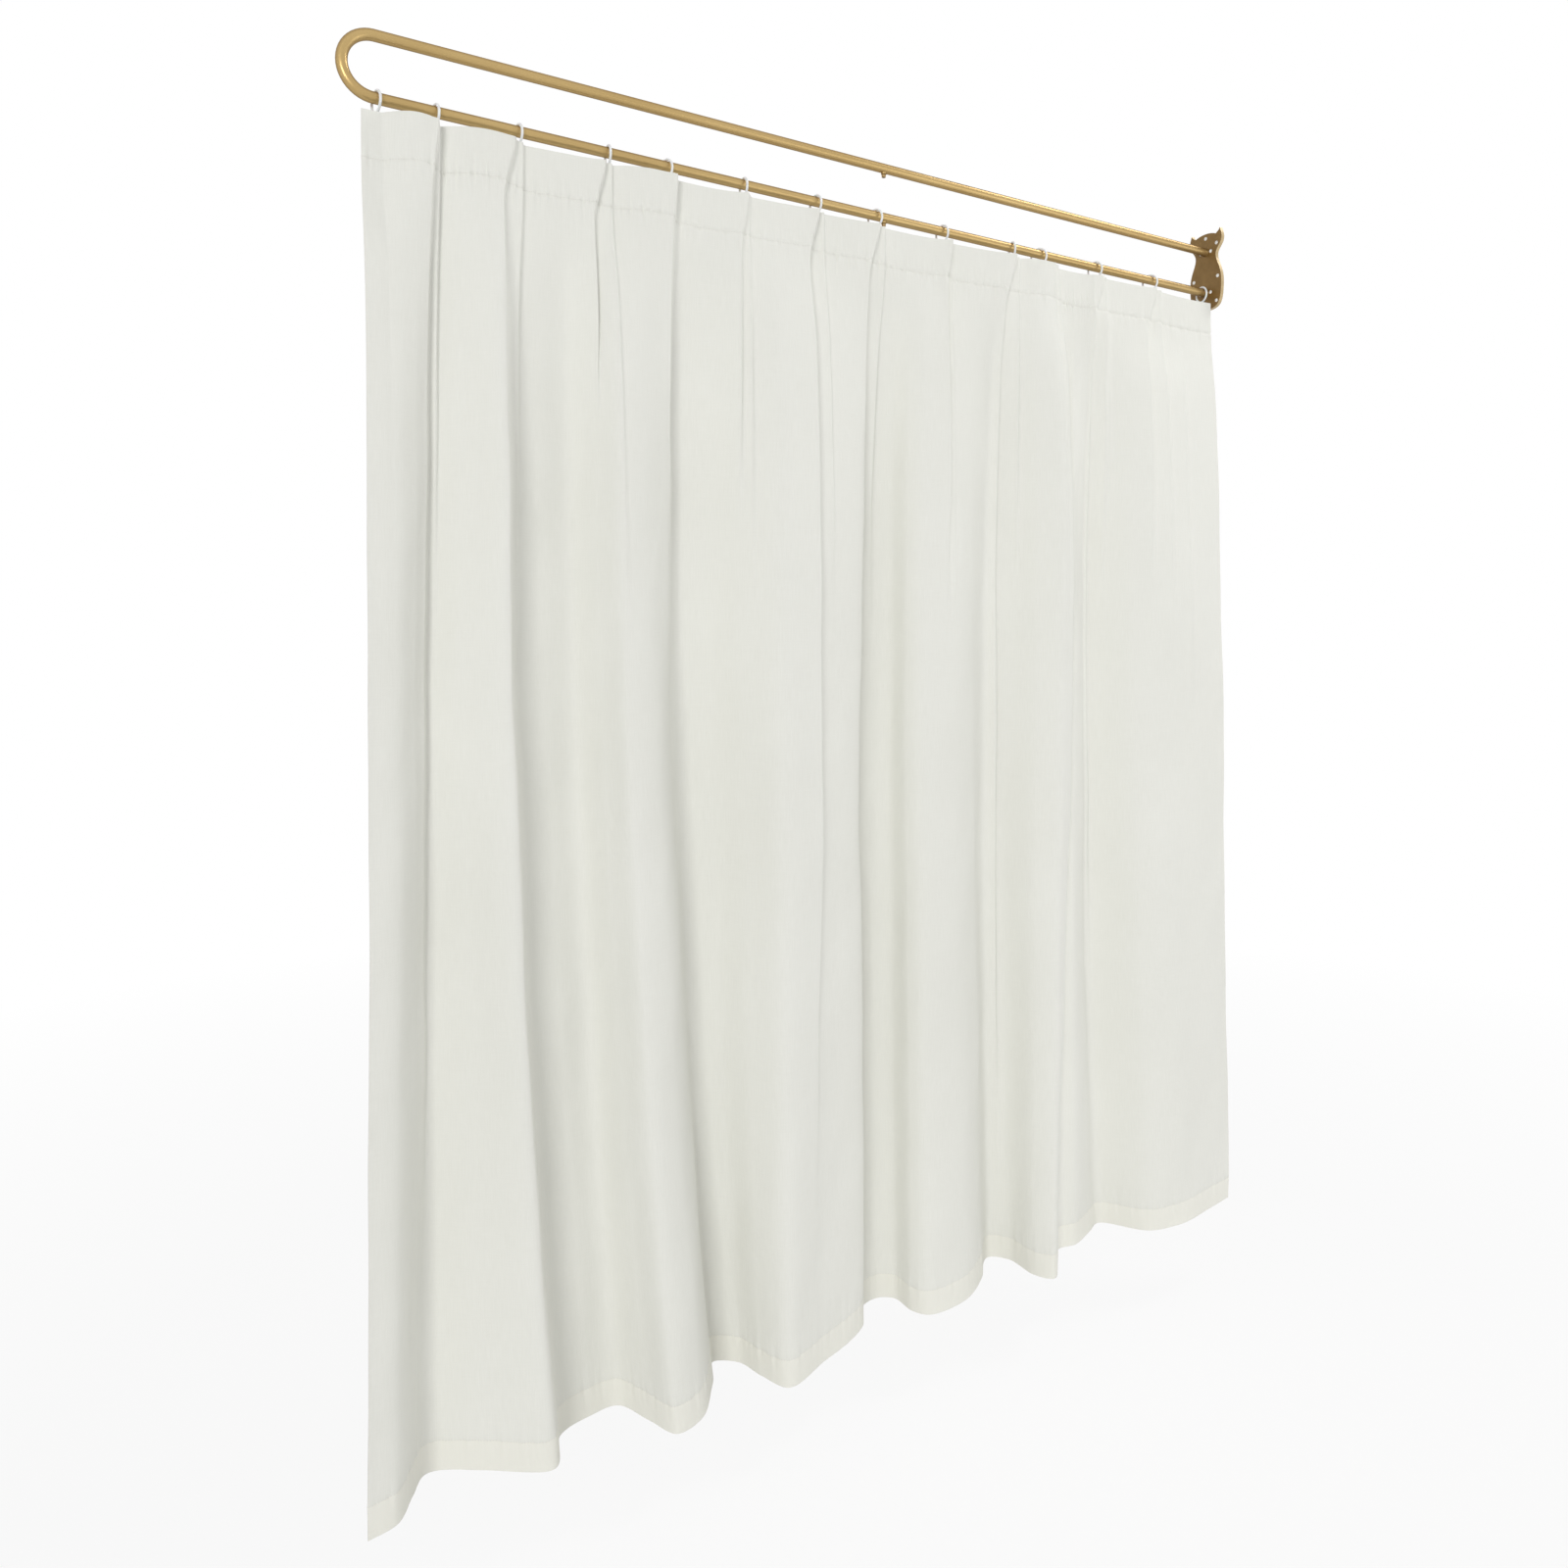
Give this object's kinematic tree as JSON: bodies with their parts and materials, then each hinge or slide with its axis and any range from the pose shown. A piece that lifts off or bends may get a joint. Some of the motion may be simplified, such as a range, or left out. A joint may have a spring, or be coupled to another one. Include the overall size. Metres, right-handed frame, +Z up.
{
  "type": "u-shaped curtain rod",
  "caption": "U-shaped tube rod cantilevered from a cat-outline wall plate, with a pinch-pleated curtain hung from sliding rings on its lower arm.",
  "frame": {"origin": "on the wall plate's back face, half way between the two arms of the rod", "axes": "+X into the wall, the rod reaching out along -X, +Z up, folds come forward along -Y"},
  "size_m": [2.0655, 0.1714, 2.4017],
  "materials": {
    "gold_paint": "satin gold paint",
    "plate_paint": "satin gold paint",
    "plain_steel": "zinc plated",
    "ring_plastic": "moulded white plastic",
    "curtain_cloth": "plain close weave, off-white"
  },
  "bodies": {
    "rod": {"wall_plate": "plate_paint", "u_tube": "gold_paint", "upper_wall_tube": "gold_paint", "lower_wall_tube": "gold_paint", "joint_nuts": "gold_paint", "joint_screws": "gold_paint", "tube_plugs": "plain_steel", "plate_bolts": "plain_steel", "ring_01": "ring_plastic", "curtain": "curtain_cloth"},
    "lead_ring": {"ring_14": "ring_plastic"},
    "ring_02_body": {"ring_02": "ring_plastic"},
    "ring_03_body": {"ring_03": "ring_plastic"},
    "ring_04_body": {"ring_04": "ring_plastic"},
    "ring_05_body": {"ring_05": "ring_plastic"},
    "ring_06_body": {"ring_06": "ring_plastic"},
    "ring_07_body": {"ring_07": "ring_plastic"},
    "ring_08_body": {"ring_08": "ring_plastic"},
    "ring_09_body": {"ring_09": "ring_plastic"},
    "ring_10_body": {"ring_10": "ring_plastic"},
    "ring_11_body": {"ring_11": "ring_plastic"},
    "ring_12_body": {"ring_12": "ring_plastic"},
    "ring_13_body": {"ring_13": "ring_plastic"}
  },
  "joints": [
    {"name": "curtain_draw", "type": "slide", "parent": "rod", "child": "lead_ring", "axis": [1, 0, 0], "range_m": [0, 1.3048], "deforming": ["curtain"]},
    {"name": "ring_02_slide", "type": "slide", "parent": "rod", "child": "ring_02_body", "axis": [1, 0, 0], "range_m": [0, 0.1205]},
    {"name": "ring_03_slide", "type": "slide", "parent": "rod", "child": "ring_03_body", "axis": [1, 0, 0], "range_m": [0, 0.2406]},
    {"name": "ring_04_slide", "type": "slide", "parent": "rod", "child": "ring_04_body", "axis": [1, 0, 0], "range_m": [0, 0.3554]},
    {"name": "ring_05_slide", "type": "slide", "parent": "rod", "child": "ring_05_body", "axis": [1, 0, 0], "range_m": [0, 0.4076]},
    {"name": "ring_06_slide", "type": "slide", "parent": "rod", "child": "ring_06_body", "axis": [1, 0, 0], "range_m": [0, 0.5368]},
    {"name": "ring_07_slide", "type": "slide", "parent": "rod", "child": "ring_07_body", "axis": [1, 0, 0], "range_m": [0, 0.6516]},
    {"name": "ring_08_slide", "type": "slide", "parent": "rod", "child": "ring_08_body", "axis": [1, 0, 0], "range_m": [0, 0.7469]},
    {"name": "ring_09_slide", "type": "slide", "parent": "rod", "child": "ring_09_body", "axis": [1, 0, 0], "range_m": [0, 0.8552]},
    {"name": "ring_10_slide", "type": "slide", "parent": "rod", "child": "ring_10_body", "axis": [1, 0, 0], "range_m": [0, 0.9635]},
    {"name": "ring_11_slide", "type": "slide", "parent": "rod", "child": "ring_11_body", "axis": [1, 0, 0], "range_m": [0, 1.0391]},
    {"name": "ring_12_slide", "type": "slide", "parent": "rod", "child": "ring_12_body", "axis": [1, 0, 0], "range_m": [0, 1.1487]},
    {"name": "ring_13_slide", "type": "slide", "parent": "rod", "child": "ring_13_body", "axis": [1, 0, 0], "range_m": [0, 1.2427]}
  ],
  "couplings": [
    {"joint": "ring_02_slide", "follows": "curtain_draw", "ratio": 0.092},
    {"joint": "ring_03_slide", "follows": "curtain_draw", "ratio": 0.184},
    {"joint": "ring_04_slide", "follows": "curtain_draw", "ratio": 0.272},
    {"joint": "ring_05_slide", "follows": "curtain_draw", "ratio": 0.312},
    {"joint": "ring_06_slide", "follows": "curtain_draw", "ratio": 0.411},
    {"joint": "ring_07_slide", "follows": "curtain_draw", "ratio": 0.499},
    {"joint": "ring_08_slide", "follows": "curtain_draw", "ratio": 0.572},
    {"joint": "ring_09_slide", "follows": "curtain_draw", "ratio": 0.655},
    {"joint": "ring_10_slide", "follows": "curtain_draw", "ratio": 0.738},
    {"joint": "ring_11_slide", "follows": "curtain_draw", "ratio": 0.796},
    {"joint": "ring_12_slide", "follows": "curtain_draw", "ratio": 0.88},
    {"joint": "ring_13_slide", "follows": "curtain_draw", "ratio": 0.952}
  ]
}
